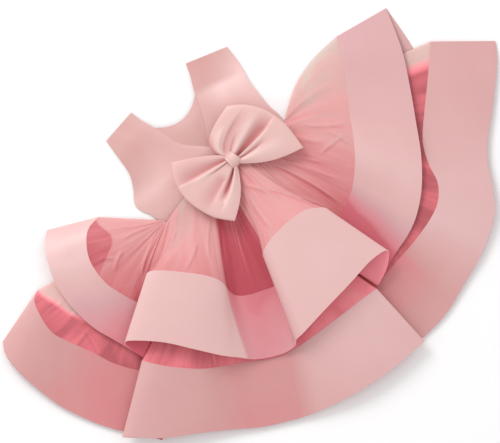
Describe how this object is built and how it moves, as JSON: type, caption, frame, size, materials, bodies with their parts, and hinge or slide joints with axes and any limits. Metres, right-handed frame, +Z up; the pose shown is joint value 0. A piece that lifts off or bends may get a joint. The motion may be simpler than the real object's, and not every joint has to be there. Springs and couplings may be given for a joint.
{
  "type": "toddler party dress",
  "caption": "Sleeveless toddler party dress laid flat: fitted panelled bodice, big pinched waist bow and two gathered net tiers with wide satin bands.",
  "frame": {"origin": "on the surface that the dress lies on, under the middle of its box", "axes": "+Z up from the surface, +Y towards the top of the view with the neck at the upper left, +X to the right along the dress's longest side"},
  "size_m": [0.7944, 0.6942, 0.0551],
  "materials": {
    "bodice_satin": "soft satin, smooth",
    "bow_satin": "heavy satin, soft sheen",
    "band_satin": "heavy satin, soft sheen",
    "net": "fine sheer net"
  },
  "bodies": {
    "root": {"bodice_front_left": "bodice_satin", "bodice_front_right": "bodice_satin", "bodice_front_centre": "bodice_satin", "bodice_back_left": "bodice_satin", "bodice_back_right": "bodice_satin", "bow_loops": "bow_satin", "bow_knot": "bow_satin", "upper_net_front": "net", "upper_band_front": "band_satin", "upper_net_back": "net", "upper_band_back": "band_satin", "lower_net_front": "net", "lower_band_front": "band_satin", "lower_net_back": "net", "lower_band_back": "band_satin"}
  },
  "joints": []
}
